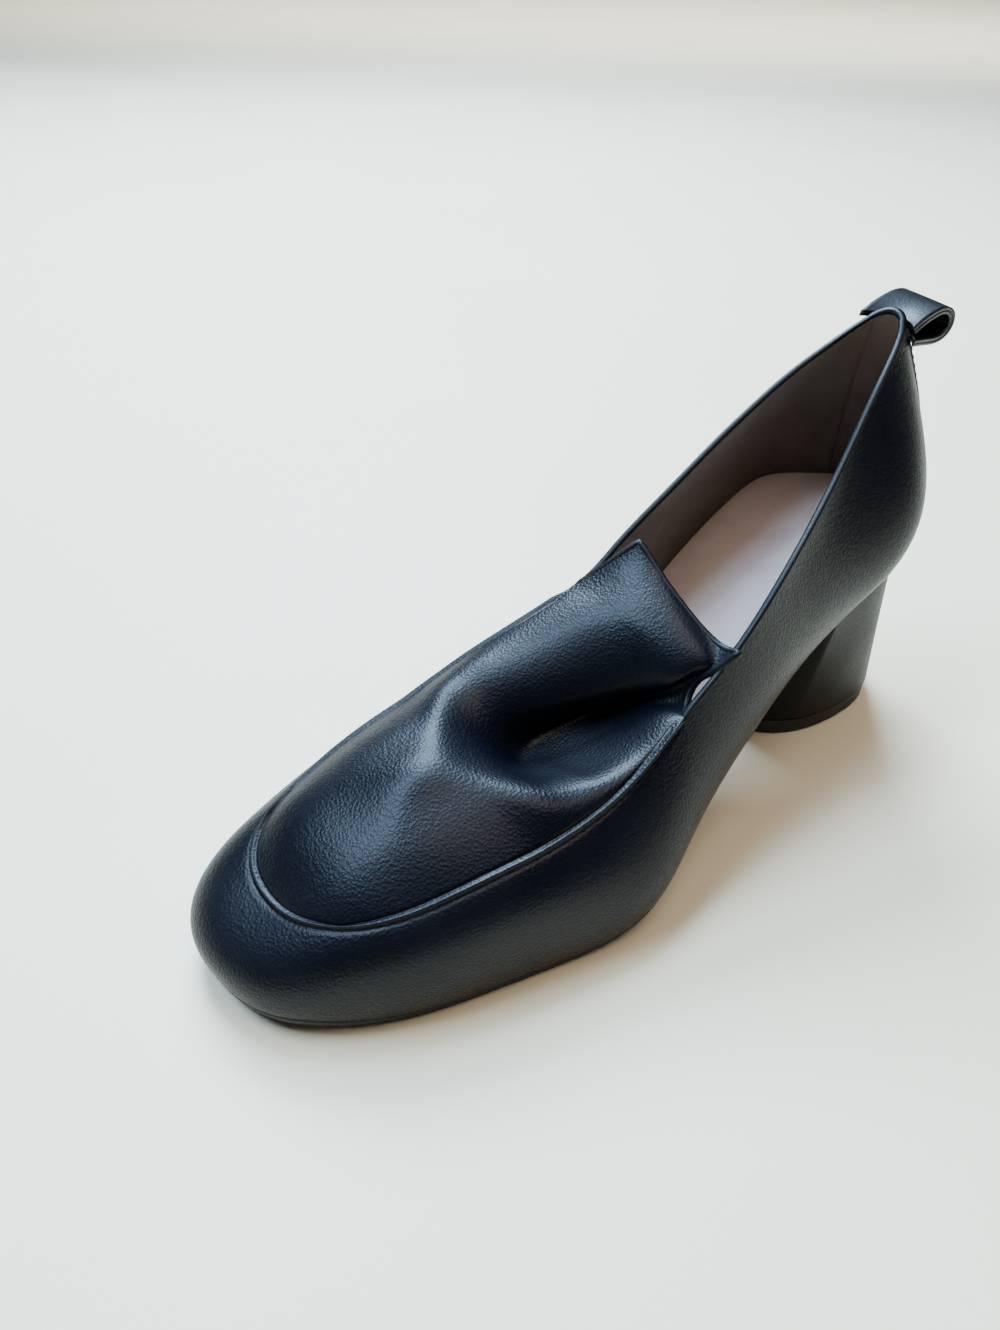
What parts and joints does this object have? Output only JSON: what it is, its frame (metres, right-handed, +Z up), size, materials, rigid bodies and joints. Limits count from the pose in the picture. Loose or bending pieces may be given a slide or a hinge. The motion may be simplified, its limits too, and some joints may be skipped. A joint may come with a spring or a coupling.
{
  "type": "block heel pump",
  "caption": "Closed leather pump with a raised apron, a folded-over tongue, a pull loop at the back, a thin sole and a flared block heel.",
  "frame": {"origin": "on the floor, at the middle of the top lift's underside", "axes": "+Z up; toe towards -Y; the wearer's left, the outer side of this left shoe, towards +X"},
  "size_m": [0.0857, 0.2478, 0.1259],
  "materials": {
    "black_leather": "smooth fine grain, soft gloss",
    "loop_leather": "smooth fine grain, soft gloss",
    "sole_rubber": "matte",
    "insole_leather": "matte, pale pink",
    "heel_cover": "satin",
    "lift_rubber": "matte"
  },
  "bodies": {
    "root": {"upper": "black_leather", "pull_loop": "loop_leather", "outsole": "sole_rubber", "insole": "insole_leather", "heel": "heel_cover", "top_lift": "lift_rubber"}
  },
  "joints": []
}
